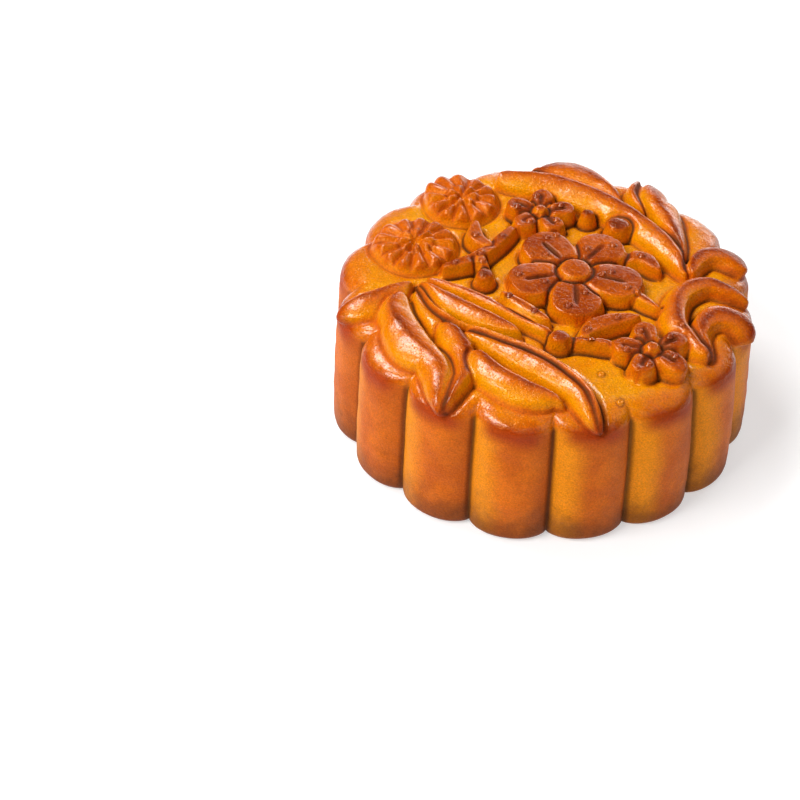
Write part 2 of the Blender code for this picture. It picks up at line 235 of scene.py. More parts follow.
def spline(points):
    p = np.array(points, float)
    t = np.linspace(0, len(p) - 1, SAMPLES_PER_SPAN * (len(p) - 1) + 1)
    p = np.vstack([2 * p[0] - p[1], p, 2 * p[-1] - p[-2]])
    i = np.minimum(t.astype(int), len(p) - 4)
    f = (t - i)[:, None]
    a, b, c, d = p[i], p[i + 1], p[i + 2], p[i + 3]
    return (2 * b + (c - a) * f + (2 * a - 5 * b + 4 * c - d) * f**2 + (3 * b - 3 * c + d - a) * f**3) / 2


def along_spine(points, x, y):
    """Share of the way along the spine (0 ... 1), and distance from it, positive on the left."""
    path = spline(points)
    best = np.full(x.shape, np.inf)
    share = np.zeros(x.shape)
    side = np.zeros(x.shape)
    for k, (start, end) in enumerate(zip(path[:-1], path[1:])):
        step = end - start
        dx, dy = x - start[0], y - start[1]
        f = np.clip((dx * step[0] + dy * step[1]) / (step @ step), 0, 1)
        distance = np.hypot(dx - f * step[0], dy - f * step[1])
        nearer = distance < best
        best = np.where(nearer, distance, best)
        share = np.where(nearer, (k + f) / (len(path) - 1), share)
        side = np.where(nearer, np.sign(step[0] * dy - step[1] * dx), side)
    return share, best * np.where(side < 0, -1, 1)


print("a leaf's spine has", len(spline(STEM["spine"])), "points")

# %% [markdown]
# ## Laying shapes over each other
# In a mould the shapes overlap, and each one ends in a soft wall with a crease pressed around it. We keep
# three layers while we lay the shapes: the height, how deep in a crease a point is, and how toasted it is.
# The toast fades in over a wider edge than the height does, so walls stay golden while tops turn brown. The
# last two layers cost nothing here, and later tell the material which tops to darken and where to paint
# shade along the creases.

# %% Laying one shape
EDGE_SLOPE = 1.0
GROOVE_DEPTH = 0.55
GROOVE_WIDTH = 0.6
CREASE_WIDTH = 0.32
TOAST_EDGE = 1.7
FULL_HEIGHT = 1.2


def lay_over(layers, inside, height, toast):
    """Lays a shape over the layers. inside is the distance in from its outline, negative outside it."""
    relief, crease, toasted = layers
    press = np.clip(height / FULL_HEIGHT, 0, 1)
    groove = GROOVE_DEPTH * press * np.exp(-((np.minimum(inside, 0) / GROOVE_WIDTH) ** 2))
    line = press * np.exp(-((inside / CREASE_WIDTH) ** 2))
    cover = smoothstep(inside / EDGE_SLOPE)
    crease = np.maximum(crease * (1 - cover), line)
    toasted = toasted * (1 - cover) + toast * cover * smoothstep(inside / TOAST_EDGE)
    return (relief - groove) * (1 - cover) + height * cover, crease, toasted


print("a shape presses a full crease from a height of", FULL_HEIGHT, "mm")

# %% Leaves and bars
FLAT_FROM = 2.5
FLAT_TOAST = 0.65
LEAF_EDGE_TOAST = 0.02
LEAF_CREST_TOAST = 0.80
TOAST_FADE = 1.8
TIP_DROP = 0.3


def lay_leaf(layers, x, y, spine, width, crest, edge, lean, belly, blunt, roundness):
    t, d = along_spine(spine, x, y)
    swell = 4 * t ** (math.log(0.5) / math.log(belly))
    swell = np.clip(swell * (1 - swell / 4), 0, 1)
    half = np.maximum(width / 2 * swell**blunt, 1e-6)
    v = np.clip(d / half, -1, 1)
    ridge = lean[0] + (lean[1] - lean[0]) * t
    from_crest = np.where(v > ridge, (v - ridge) / (1 - ridge), (ridge - v) / (1 + ridge))
    foot = edge[0] + (edge[1] - edge[0]) * smoothstep((v + 1) / 2)
    height = foot + (crest - foot) * (1 - from_crest**roundness) * swell**TIP_DROP
    crest_share = (1 - from_crest) ** TOAST_FADE
    leaf_toast = LEAF_EDGE_TOAST + (LEAF_CREST_TOAST - LEAF_EDGE_TOAST) * crest_share
    toast = FLAT_TOAST if roundness > FLAT_FROM else leaf_toast
    return lay_over(layers, half - np.abs(d), height, toast)


print("a leaf's crest is toasted to", LEAF_CREST_TOAST, "and a flat top to", FLAT_TOAST)

# %% Buds
BUD_WALL = 0.45
BUD_EDGE_TOAST = 0.4
BUD_TOP_TOAST = 0.9


def dome_over(distance, radius):
    """1 in the middle of a round shape, falling to 0 at its outline as a ball does."""
    return np.sqrt(np.clip(1 - (distance / radius) ** 2, 0, 1))


def lay_bud(layers, x, y, middle, radius):
    d = np.hypot(x - middle[0], y - middle[1])
    dome = dome_over(d, radius)
    height = BUD_HEIGHT * (BUD_WALL + (1 - BUD_WALL) * dome)
    return lay_over(layers, radius - d, height, BUD_EDGE_TOAST + (BUD_TOP_TOAST - BUD_EDGE_TOAST) * dome)


print("a bud is", BUD_HEIGHT, "mm high")

# %% Blossoms
PETAL_HEIGHT = 2.7
PETAL_START = 0.06
PETAL_WIDTH = 0.84
VEIN_DEPTH = 0.5
VEIN_WIDTH = 0.5
VEIN_START = 0.25
VEIN_END = 0.82
VEIN_TAPER = 6
VEIN_CREASE = 0.6
HEART = 0.27
HEART_DOME = 0.7
HEART_SINK = 0.2


def lay_blossom(layers, x, y, middle, reach, first):
    dx, dy = x - middle[0], y - middle[1]
    for k in range(PETALS):
        angle = math.radians(first + k * 360 / PETALS)
        out = np.array((math.cos(angle), math.sin(angle)))
        spine = [out * reach * PETAL_START + middle, out * reach + middle]
        edge = PETAL_HEIGHT - FLAT_EDGE_DROP
        petal = leaf(spine, reach * PETAL_WIDTH, PETAL_HEIGHT, (edge, edge),
                     belly=0.62, blunt=0.42, roundness=3)
        relief, crease, toasted = lay_leaf(layers, x, y, **petal)
        along, across = dx * out[0] + dy * out[1], dy * out[0] - dx * out[1]
        vein = smoothstep((along / reach - VEIN_START) * VEIN_TAPER)
        vein = vein * smoothstep((VEIN_END - along / reach) * VEIN_TAPER)
        vein = vein * np.exp(-((across / VEIN_WIDTH) ** 2))
        layers = relief - VEIN_DEPTH * vein, np.maximum(crease, VEIN_CREASE * vein), toasted
    d = np.hypot(dx, dy)
    heart = reach * HEART
    height = PETAL_HEIGHT - HEART_SINK + HEART_DOME * dome_over(d, heart)
    return lay_over(layers, heart - d, height, FLAT_TOAST)


print("each blossom has", PETALS, "petals")

# %% Medallions
PLATE_HEIGHT = 0.9
PLATE_TOAST = 0.25
FINGER_RINGS = ((0, 0.34, 0.92, 2.3), (5, 0.08, 0.46, 2.8))
FINGER_FOOT = 0.6
FINGER_FULLNESS = 0.6
FINGER_GAP_WIDTH = 1.6
FINGER_CREASE = 0.8
FINGER_EDGE_TOAST = 0.12
FINGER_TOP_TOAST = 0.50


def lay_medallion(layers, x, y, middle, radius, fingers):
    """A low round plate under two rings of petals, the inner ring higher and with fewer of them."""
    d = np.hypot(x - middle[0], y - middle[1])
    angle = np.arctan2(y - middle[1], x - middle[0])
    relief, crease, toasted = lay_over(layers, radius - d, np.full(x.shape, PLATE_HEIGHT), PLATE_TOAST)
    for fewer, inner, outer, height in FINGER_RINGS:
        ridge = np.abs(np.cos(angle * (fingers - fewer) / 2)) ** FINGER_FULLNESS
        halfway, reach = radius * (inner + outer) / 2, radius * (outer - inner) / 2
        length = np.clip(1 - (np.abs(d - halfway) / reach) ** 4, 0, 1)
        finger = (FINGER_FOOT + (height - FINGER_FOOT) * ridge) * np.sqrt(length)
        gap = np.clip(1 - ridge * FINGER_GAP_WIDTH, 0, 1) * (length > 0)
        crease = np.maximum(crease, FINGER_CREASE * gap)
        higher = (length > 0) & (finger > relief)
        finger_toast = FINGER_EDGE_TOAST + (FINGER_TOP_TOAST - FINGER_EDGE_TOAST) * ridge
        toasted = np.where(higher, finger_toast, toasted)
        relief = np.where(higher, finger, relief)
    return relief, crease, toasted


print("petals in a medallion", [2 * fingers - FINGER_RINGS[1][0] for _, _, fingers in MEDALLIONS])


# %% The whole relief
def relief_at(x, y):
    """(height, crease, toast) of the relief at points of the sheet."""
    layers = np.zeros(x.shape), np.zeros(x.shape), np.zeros(x.shape)
    for shape in BACK_LEAVES + RIGHT_LEAVES + [STEM] + FRONT_LEAVES + TWIGS + SMALL_LEAVES:
        layers = lay_leaf(layers, x, y, **shape)
    for medallion in MEDALLIONS:
        layers = lay_medallion(layers, x, y, *medallion)
    for bud in BUDS:
        layers = lay_bud(layers, x, y, *bud)
    for blossom in BLOSSOMS:
        layers = lay_blossom(layers, x, y, *blossom)
    return layers


big_blossom = BLOSSOMS[-1][0]
blossom_height = relief_at(np.array([big_blossom[0]]), np.array([big_blossom[1]]))[0]
print("height in the middle of the big blossom", blossom_height.round(2), "mm")

# %% [markdown]
# ## The crust mesh
# The crust is a grid of rings and columns. Forty columns on each lobe put one exactly in every groove, and
# rings a quarter of a millimetre apart carry the relief. Towards the middle the columns would crowd, so
# their number halves twice. Baked dough is never quite even, so a few slow waves move the surface by a
# tenth of a millimetre or two.

# %% Slow unevenness of the dough
DOUGH_SEED = 8
DOUGH_WAVES = ((17, 0.12), (6, 0.05), (2.8, 0.024), (1.3, 0.013))
WAVES_PER_SIZE = 7
WAVE_SIZE_SPREAD = (0.7, 1.4)


def dough_waves(points, size, height, seed):
    """Smooth, seeded unevenness: waves of about the given size in random directions."""
    rng = np.random.default_rng(seed)
    total = np.zeros(points.shape[:-1])
    for _ in range(WAVES_PER_SIZE):
        direction = rng.normal(size=3)
        direction *= rng.uniform(*WAVE_SIZE_SPREAD) * 2 * math.pi / size / np.linalg.norm(direction)
        total += np.sin(points @ direction + rng.uniform(0, 2 * math.pi))
    return total * height / 3


def unevenness(points):
    """Four sizes of wave: sagging, hand pressure, and two sizes of lumps in the dough."""
    sizes = enumerate(DOUGH_WAVES)
    return sum(dough_waves(points, size, height, DOUGH_SEED + k) for k, (size, height) in sizes)


print("the dough waves are", [size for size, _ in DOUGH_WAVES], "mm long")

# %% The rings and columns
COLUMNS = 40 * LOBES
TOP_RINGS = 134
SHOULDER_RINGS = 24
SIDE_RINGS = 22
FOOT_RINGS = 5
INNER_RADIUS = 0.02


def sheet_rings():
    top = np.linspace(0, TOP_RADIUS, TOP_RINGS, endpoint=False)[1:]
    shoulder = np.linspace(TOP_RADIUS, TOP_RADIUS + SHOULDER_LAP, SHOULDER_RINGS, endpoint=False)
    side = np.linspace(TOP_RADIUS + SHOULDER_LAP, FOOT - FOOT_ROUND, SIDE_RINGS, endpoint=False)
    rounding = FOOT - FOOT_ROUND * (1 - np.sin(np.linspace(0, math.pi / 2, FOOT_RINGS)))
    return np.concatenate([[INNER_RADIUS], top, shoulder, side, rounding])


radii = sheet_rings()
angles = FIRST_VALLEY + np.arange(COLUMNS) * 2 * math.pi / COLUMNS
sheet_s, sheet_a = np.meshgrid(radii, angles, indexing="ij")
sheet_x, sheet_y = sheet_s * np.cos(sheet_a), sheet_s * np.sin(sheet_a)
print(len(radii), "rings of", COLUMNS, "columns")

# %% Lay the relief on the body
CALM_ABOVE_FOOT = 6


def soften(layer):
    """Rounds the relief by about one step of the grid, as dough does."""
    layer = (np.roll(layer, 1, axis=1) + 2 * layer + np.roll(layer, -1, axis=1)) / 4
    layer[1:-1] = (layer[:-2] + 2 * layer[1:-1] + layer[2:]) / 4
    return layer


def place(s, a, height):
    """Points of the sheet in space, at a height over the smooth body."""
    radius, z, tilt = skin(s, a)
    radius = radius + height * np.sin(tilt)
    z = z + height * np.cos(tilt)
    return np.stack([radius * np.cos(a), radius * np.sin(a), z], axis=-1)


rise, crease, toast = (soften(layer) for layer in relief_at(sheet_x, sheet_y))
grid = place(sheet_s, sheet_a, rise)
grid = place(sheet_s, sheet_a, rise + unevenness(grid) * smoothstep((FOOT - sheet_s) / CALM_ABOVE_FOOT))
by_ring = np.gradient(rise, radii, axis=0)
by_column = (np.roll(rise, -1, axis=1) - np.roll(rise, 1, axis=1)) / (sheet_s * 4 * math.pi / COLUMNS)
steepness = np.hypot(by_ring, by_column)
print("grid", grid.shape, "highest relief", round(rise.max(), 2), "mm")

# %% Fit the crust into the frame
LOW, HIGH = (np.array(corner) / MM for corner in cad_box)


def into_frame(points):
    """Moves and stretches points by the little that brings the crust exactly to the frame's box."""
    return LOW + (points - grid_low) * (HIGH - LOW) / (grid_high - grid_low)


flat = grid.reshape(-1, 3)
grid_low, grid_high = flat.min(axis=0), flat.max(axis=0)
print("stretch", np.round((HIGH - LOW) / (grid_high - grid_low), 4))


# %% Thin the columns towards the middle
def column_step(ring_radius):
    """Every column is used outside, every second one further in, every fourth in the middle."""
    return 1 if ring_radius > TOP_RADIUS / 2 else 2 if ring_radius > TOP_RADIUS / 4 else 4


steps = [column_step(radius) for radius in radii]
kept = np.concatenate([ring * COLUMNS + np.arange(0, COLUMNS, step) for ring, step in enumerate(steps)])
starts = np.concatenate([[0], np.cumsum([COLUMNS // step for step in steps])])
middle = into_frame(grid[0, 0])
verts = np.vstack([into_frame(flat[kept]), middle, [middle[0], middle[1], 0]])
print("points kept", len(kept), "of", len(flat))


# %% Faces
def join_rings(ring):
    """Faces from one ring to the next. Where the columns double, three triangles fill each gap."""
    here, there = starts[ring], starts[ring + 1]
    count, ratio = COLUMNS // steps[ring], steps[ring] // steps[ring + 1]
    i = np.arange(count)
    j = (i + 1) % count
    a, b = here + i, here + j
    if ratio == 1:
        return np.stack([a, there + i, there + j, b], -1).tolist()
    c, d, e = there + 2 * i, there + 2 * i + 1, there + 2 * j
    return np.vstack([np.stack(t, -1) for t in ((a, c, d), (a, d, b), (b, d, e))]).tolist()


faces = [face for ring in range(len(radii) - 1) for face in join_rings(ring)]
top_middle, base_middle = len(kept), len(kept) + 1
inner = COLUMNS // steps[0]
faces += [(top_middle, i, (i + 1) % inner) for i in range(inner)]
faces += [(base_middle, int(starts[-2]) + (i + 1) % COLUMNS, int(starts[-2]) + i) for i in range(COLUMNS)]
mesh = bpy.data.meshes.new("crust")
mesh.from_pydata((verts * MM).tolist(), [], faces)
mesh.shade_smooth()
crust = bpy.data.objects.new("crust", mesh)
bpy.context.scene.collection.objects.link(crust)
print("crust triangles", sum(len(p.vertices) - 2 for p in mesh.polygons))

# %% [markdown]
# ## Values for the material
# The material needs to know where it is on the pastry, so each vertex stores a few values: how toasted it
# is, how deep in a crease it lies, how steep the relief is there, how far down the side it is, how far off
# its lobe's crown it is and to which side, and whether it is low ground. The right of the cake, away from
# the
# key light, gets painted shade: its shapes take a little more toast and its lobes a darker brown, and that
# is stored too.

# %% Attributes
SHADED_SHAPES_FROM = 22
SHADED_SHAPES_SPAN = 12
SHADED_SHAPES_TOAST = 0.32
RIGHT_SHADE_FROM = 0.30
RIGHT_SHADE_SPAN = 0.25
_, across = lobe_phase(sheet_a)
raised = smoothstep(rise / FULL_HEIGHT)
# Painted shade: the raised shapes on the right of the cake, away from the key light, are toasted darker.
shaded_right_shapes = smoothstep((sheet_x - SHADED_SHAPES_FROM) / SHADED_SHAPES_SPAN) * raised


def store(name, values):
    """Stores one value for each vertex. The two middle points take the value of the ring beside them."""
    attribute = mesh.attributes.new(name, "FLOAT", "POINT")
    values = np.concatenate([values.ravel()[kept], [values[0, 0], values[-1, 0]]])
    attribute.data.foreach_set("value", values.astype(np.float32))


# The stored toast carries that painted shade on the right-hand shapes.
store("toast", toast + SHADED_SHAPES_TOAST * shaded_right_shapes * (1 - toast))
store("crease", crease)
store("steep", steepness)
store("drop", np.clip((sheet_s - TOP_RADIUS) / (FOOT - TOP_RADIUS), 0, 1))
store("off_crown", np.abs(across))
store("flank", across)
# Painted shade: how far a point lies on the right of the cake, away from the key light.
store("heat", smoothstep((np.cos(sheet_a) - RIGHT_SHADE_FROM) / RIGHT_SHADE_SPAN))
store("ground", 1 - raised)
print([a.name for a in mesh.attributes])

# %% [markdown]
# ## Vent pips
# The mould has small holes that let the air out, and each leaves a pip of dough about a millimetre wide,
# most of them on the raised shapes. They are real bumps that catch the light, so they are meshed: one small
# ring-shaped blister, whose profile is given in shares of its radius and height, repeated and joined into
# one piece. Around the foot of each pip a thin ring of painted shade darkens the crust, so the crust stores
# one more value: that ring around every pip.

# %% Where the pips sit
PIP_SPACING = 6.0
SINGLE_SPOTS = [(9.5, -25.6), (12.6, -32.6), (25.0, -13.8), (2.2, 12.2)]
BIG_REACH = 10
BIG_PETAL_SPOTS = [(0.50, 0.13), (0.80, -0.12)]
SMALL_PETAL_SPOTS = [(0.62, 0.15)]


def spots_on_bar(shape):
    path = spline(shape["spine"])
    length = np.linalg.norm(np.diff(path, axis=0), axis=1).sum()
    count = max(1, int(length / PIP_SPACING))
    picks = ((np.arange(count) + 0.5) / count * (len(path) - 1)).astype(int)
    return [tuple(path[k]) for k in picks]


def spots_on_blossom(middle, reach, first):
    shares = BIG_PETAL_SPOTS if reach > BIG_REACH else SMALL_PETAL_SPOTS
    spots = []
    for k in range(PETALS):
        angle = math.radians(first + k * 360 / PETALS)
        out, aside = (math.cos(angle), math.sin(angle)), (-math.sin(angle), math.cos(angle))
        for along, off in shares:
            spots.append(tuple(middle[i] + reach * (along * out[i] + off * aside[i]) for i in (0, 1)))
    return spots


spots = list(SINGLE_SPOTS)
for shape in TWIGS + SMALL_LEAVES:
    spots += spots_on_bar(shape)
for blossom in BLOSSOMS:
    spots += spots_on_blossom(*blossom)
print(len(spots), "pips")

# %% The crust under a pip
NUDGE = 0.3


def surface_under(x, y):
    """A point of the finished crust over the sheet, two directions along it there, and its toast."""
    px, py = np.array([x, x + NUDGE, x]), np.array([y, y, y + NUDGE])
    s, a = np.hypot(px, py), np.arctan2(py, px)
    height, _, toast_here = relief_at(px, py)
    base = place(s, a, height)
    here, east, north = into_frame(place(s, a, height + unevenness(base)))
    east, north = (side / np.linalg.norm(side) for side in (east - here, north - here))
    return here, east, north, toast_here[0]


print("under the first pip", surface_under(*spots[0])[0].round(2), "mm")

# %% Build the pips
PIP_RADIUS = 0.66
PIP_HEIGHT = 0.34
PIP_DIMPLE = 0.6
PIP_SIDES = 14
PIP_PROFILE = [(1.25, -0.35), (1.0, 0.05), (0.86, 0.62), (0.62, 1.0), (0.36, 0.86), (0.18, 0.66)]
pip_verts, pip_faces, pip_toast = [], [], []
for x, y in spots:
    here, east, north, toast_here = surface_under(x, y)
    out = np.cross(east, north)
    out /= np.linalg.norm(out)
    start = len(pip_verts)
    for radius, height in PIP_PROFILE:
        for k in range(PIP_SIDES):
            turn = 2 * math.pi * k / PIP_SIDES
            flat_part = east * math.cos(turn) + north * math.sin(turn)
            pip_verts.append(here + flat_part * radius * PIP_RADIUS + out * height * PIP_HEIGHT)
    pip_verts.append(here + out * PIP_DIMPLE * PIP_HEIGHT)
    pip_toast += [toast_here] * (len(pip_verts) - start)
    for ring in range(len(PIP_PROFILE) - 1):
        for k in range(PIP_SIDES):
            i, j = start + ring * PIP_SIDES + k, start + ring * PIP_SIDES + (k + 1) % PIP_SIDES
            pip_faces.append((i, j, j + PIP_SIDES, i + PIP_SIDES))
    last_ring = start + (len(PIP_PROFILE) - 1) * PIP_SIDES
    for k in range(PIP_SIDES):
        pip_faces.append((last_ring + k, last_ring + (k + 1) % PIP_SIDES, last_ring + PIP_SIDES))
pip_mesh = bpy.data.meshes.new("vent_pips")
pip_mesh.from_pydata([tuple(v * MM) for v in pip_verts], [], pip_faces)
pip_mesh.shade_smooth()
pip_mesh.attributes.new("toast", "FLOAT", "POINT").data.foreach_set("value", pip_toast)
pips = bpy.data.objects.new("vent_pips", pip_mesh)
bpy.context.scene.collection.objects.link(pips)
print("pip triangles", sum(len(p.vertices) - 2 for p in pip_mesh.polygons))

# %% A ring of painted shade around each pip
RING_RADIUS = 0.78
RING_WIDTH = 0.22
pip_shade_rings = np.zeros(sheet_s.shape)
for x, y in spots:
    off = np.hypot(sheet_x - x, sheet_y - y)
    pip_shade_rings = np.maximum(pip_shade_rings, np.exp(-(((off - RING_RADIUS) / RING_WIDTH) ** 2)))
store("pip_shade_ring", pip_shade_rings)
print("vertices well inside a ring", int((pip_shade_rings > 0.5).sum()))

# %% [markdown]
# ## Browning
# A crust browns where it meets the heat first: on crests and flat tops. The pressed-in ground stays golden.
# One node group turns a "bake" value into crust colours, and breaks it up with soft patches and small
# flecks. The crust and the pips both use it, each with its own bake.

# %% Helpers for node groups
def linear(red, green, blue):
    """A colour as a painter names it, 0 ... 255, turned into the light values that Blender mixes."""
    parts = (red, green, blue)
    return tuple(((v / 255 + 0.055) / 1.055) ** 2.4 if v > 10 else v / 255 / 12.92 for v in parts) + (1,)


def new_group(name, inputs, outputs):
    group = bpy.data.node_groups.new(name, "ShaderNodeTree")
    for label, kind, value in inputs:
        socket = group.interface.new_socket(label, in_out="INPUT", socket_type=kind)
        if value is not None:
            socket.default_value = value
    for label, kind in outputs:
        group.interface.new_socket(label, in_out="OUTPUT", socket_type=kind)
    return group, group.nodes.new("NodeGroupInput"), group.nodes.new("NodeGroupOutput")


def math_node(tree, operation, a, b=None, clamp=False):
    node = tree.nodes.new("ShaderNodeMath")
    node.operation = operation
    node.use_clamp = clamp
    for socket, value in zip(node.inputs, (a, b)):
        if isinstance(value, bpy.types.NodeSocket):
            tree.links.new(value, socket)
        elif value is not None:
            socket.default_value = value
    return node.outputs[0]


def times(tree, a, b):
    return math_node(tree, "MULTIPLY", a, b)


def plus(tree, a, b):
    return math_node(tree, "ADD", a, b)


def rest_of(tree, share):
    return math_node(tree, "SUBTRACT", 1.0, share)


def centred(tree, noise):
    """A noise that runs around 0 and not around one half."""
    return math_node(tree, "SUBTRACT", noise, 0.5)


print("number helpers: times, plus, rest_of, centred")


# %% Helpers for colours and noise
def ramp_node(tree, value, stops):
    node = tree.nodes.new("ShaderNodeValToRGB")
    ramp = node.color_ramp
    while len(ramp.elements) < len(stops):
        ramp.elements.new(0.5)
    for element, (position, colour) in zip(ramp.elements, stops):
        element.position = position
        element.color = colour
    tree.links.new(value, node.inputs[0])
    return node.outputs[0]


def mix_colour(tree, share, a, b, blend="MIX"):
    node = tree.nodes.new("ShaderNodeMix")
    node.data_type = "RGBA"
    node.blend_type = blend
    for socket, value in ((node.inputs[0], share), (node.inputs[6], a), (node.inputs[7], b)):
        if isinstance(value, bpy.types.NodeSocket):
            tree.links.new(value, socket)
        else:
            socket.default_value = value
    return node.outputs[2]


def noise_node(tree, vector, scale, detail=3.0, roughness=0.5):
    node = tree.nodes.new("ShaderNodeTexNoise")
    node.inputs["Scale"].default_value = scale
    node.inputs["Detail"].default_value = detail
    node.inputs["Roughness"].default_value = roughness
    tree.links.new(vector, node.inputs["Vector"])
    return node.outputs[0]


def spread(tree, value, low, high):
    """0 at low, 1 at high and a soft slope between. With low above high, the slope runs down."""
    node = tree.nodes.new("ShaderNodeMapRange")
    node.interpolation_type = "SMOOTHSTEP"
    node.inputs["From Min"].default_value = low
    node.inputs["From Max"].default_value = high
    tree.links.new(value, node.inputs["Value"])
    return node.outputs[0]


print("a golden crust is", [round(v, 3) for v in linear(235, 145, 15)[:3]])

# %% The browning group
PATCH_SCALE = 160
PATCH_SHARE = 0.55
FLECK_SCALE = 1400
FLECK_SHARE = 0.22
browning, given, result = new_group(
    "browning",
    [("Bake", "NodeSocketFloat", 0.5), ("Vector", "NodeSocketVector", None)],
    [("Color", "NodeSocketColor")],
)
patches = centred(browning, noise_node(browning, given.outputs["Vector"], PATCH_SCALE, 3.0, 0.55))
flecks = centred(browning, noise_node(browning, given.outputs["Vector"], FLECK_SCALE, 2.0, 0.6))
uneven = plus(browning, given.outputs["Bake"], times(browning, patches, PATCH_SHARE))
bake = math_node(browning, "ADD", uneven, times(browning, flecks, FLECK_SHARE), clamp=True)
golden_to_brown = ramp_node(browning, bake, [
    (0.0, linear(218, 139, 2)),
    (0.25, linear(210, 116, 1)),
    (0.50, linear(192, 86, 1)),
    (0.75, linear(138, 47, 1)),
    (1.0, linear(80, 22, 1)),
])
browning.links.new(golden_to_brown, result.inputs["Color"])
print("browning group has", len(browning.nodes), "nodes")

# %% [markdown]
# ## Glaze
# Egg wash dries to a thin skin, which wrinkles as the crust swells. The wrinkles are far finer than the
# mesh, so they are bump: a crackle of fine lines, a fine ripple, and slower swells. The second group puts
# out that height, for the crust and the pips alike, and Fineness makes it finer on the small pips.

# %% The wrinkle group
CRACKLE_SCALE = 1000
CRACKLE_WIDTH = 0.12
CRACKLE_SHARE = 0.25
RIPPLE_SCALE = 2600
SWELL_SCALE = 620
SWELL_SHARE = 1.6
wrinkles, given, result = new_group(
    "glaze_wrinkles",
    [("Vector", "NodeSocketVector", None), ("Fineness", "NodeSocketFloat", 1.0)],
    [("Height", "NodeSocketFloat")],
)
scaled = wrinkles.nodes.new("ShaderNodeVectorMath")
scaled.operation = "SCALE"
wrinkles.links.new(given.outputs["Vector"], scaled.inputs[0])
wrinkles.links.new(given.outputs["Fineness"], scaled.inputs["Scale"])
cells = wrinkles.nodes.new("ShaderNodeTexVoronoi")
cells.feature = "DISTANCE_TO_EDGE"
cells.inputs["Scale"].default_value = CRACKLE_SCALE
wrinkles.links.new(scaled.outputs[0], cells.inputs["Vector"])
crackle = times(wrinkles, spread(wrinkles, cells.outputs["Distance"], 0.0, CRACKLE_WIDTH), CRACKLE_SHARE)
ripple = noise_node(wrinkles, scaled.outputs[0], RIPPLE_SCALE, 2.0, 0.5)
swells = times(wrinkles, noise_node(wrinkles, scaled.outputs[0], SWELL_SCALE, 2.0, 0.5), SWELL_SHARE)
wrinkles.links.new(plus(wrinkles, crackle, plus(wrinkles, ripple, swells)), result.inputs["Height"])
print("wrinkle group has", len(wrinkles.nodes), "nodes")

# %% [markdown]
# ## The crust material
# The crust is one dough with two finishes, so it is one material with a mask. On top and over the shoulder
# lies the glaze, below it the side is dry: rough and orange-brown. The mask comes from how far down the
# sheet a point lies, with a wavy edge, as a brush leaves it.

# %% Helpers for materials
def new_material(name):
    material = bpy.data.materials.new(name)
    material.use_nodes = True
    return material, material.node_tree, material.node_tree.nodes["Principled BSDF"]


def place_group(tree, group, **inputs):
    node = tree.nodes.new("ShaderNodeGroup")
    node.node_tree = group
    for label, value in inputs.items():
        if isinstance(value, bpy.types.NodeSocket):
            tree.links.new(value, node.inputs[label])
        else:
            node.inputs[label].default_value = value
    return node.outputs[0]


def attribute_value(tree, name):
    node = tree.nodes.new("ShaderNodeAttribute")
    node.attribute_name = name
    return node.outputs["Fac"]


def add_bump(tree, shader, height, distance):
    node = tree.nodes.new("ShaderNodeBump")
    node.inputs["Strength"].default_value = 1.0
    node.inputs["Distance"].default_value = distance
    tree.links.new(height, node.inputs["Height"])
    tree.links.new(node.outputs["Normal"], shader.inputs["Normal"])


print("material helpers are ready")

# %% Masks of the crust
WAVER_SCALE = 120
WAVER = 0.08
DRY_SPAN = (0.15, 0.20)
crust_paint, tree, shader = new_material("crust_paint")
where = tree.nodes.new("ShaderNodeTexCoord").outputs["Object"]
drop = attribute_value(tree, "drop")
off_crown = attribute_value(tree, "off_crown")
crease_line = attribute_value(tree, "crease")
toasted = attribute_value(tree, "toast")
waver = times(tree, centred(tree, noise_node(tree, where, WAVER_SCALE)), WAVER)
wavy_drop = plus(tree, drop, waver)
dry = spread(tree, wavy_drop, *DRY_SPAN)
print("the side is dry from", DRY_SPAN[1], "of the way down")

# %% [markdown]
# The bake of the glazed top is mostly its toast. A little is added in the creases as painted shade, and on
# the low ground near the rim, which stands nearest the oven's hot walls. What is brown already takes less of
# the rim's.

# %% Browning of the top
TOP_BAKE = 0.08
BAKE_BY_TOAST = 0.88
RIM_SPAN = (-0.02, 0.10)
RIM_BAKE = 0.34
RIM_GROUND_SHARE = 0.7
CREASE_SHADE_BAKE_SPAN = (0.0, 0.4)
CREASE_SHADE_BAKE = 0.25
# The toast includes painted shade on the shapes on the right of the cake.
top_bake = plus(tree, times(tree, toasted, BAKE_BY_TOAST), TOP_BAKE)
low_ground = times(tree, attribute_value(tree, "ground"), RIM_GROUND_SHARE)
low_ground = plus(tree, low_ground, 1 - RIM_GROUND_SHARE)
rim_bake = times(tree, spread(tree, wavy_drop, *RIM_SPAN), RIM_BAKE)
rim_bake = times(tree, times(tree, rim_bake, rest_of(tree, top_bake)), low_ground)
# Painted shade: the ground next to the creases is browned a little.
crease_shade_bake = times(tree, spread(tree, crease_line, *CREASE_SHADE_BAKE_SPAN), CREASE_SHADE_BAKE)
top_bake = plus(tree, plus(tree, top_bake, rim_bake), crease_shade_bake)
top_colour = place_group(tree, browning, Bake=top_bake, Vector=where)
print("bake of a fully toasted crest", TOP_BAKE + BAKE_BY_TOAST)

# %% [markdown]
# The dry side is blotched in two browns. Light and shade are painted on the lobes: the flank of each lobe
# towards the key light is painted pale gold, the other flank browner as painted shade. On the right of the
# cake, away from the key, the painted pale flanks almost go.

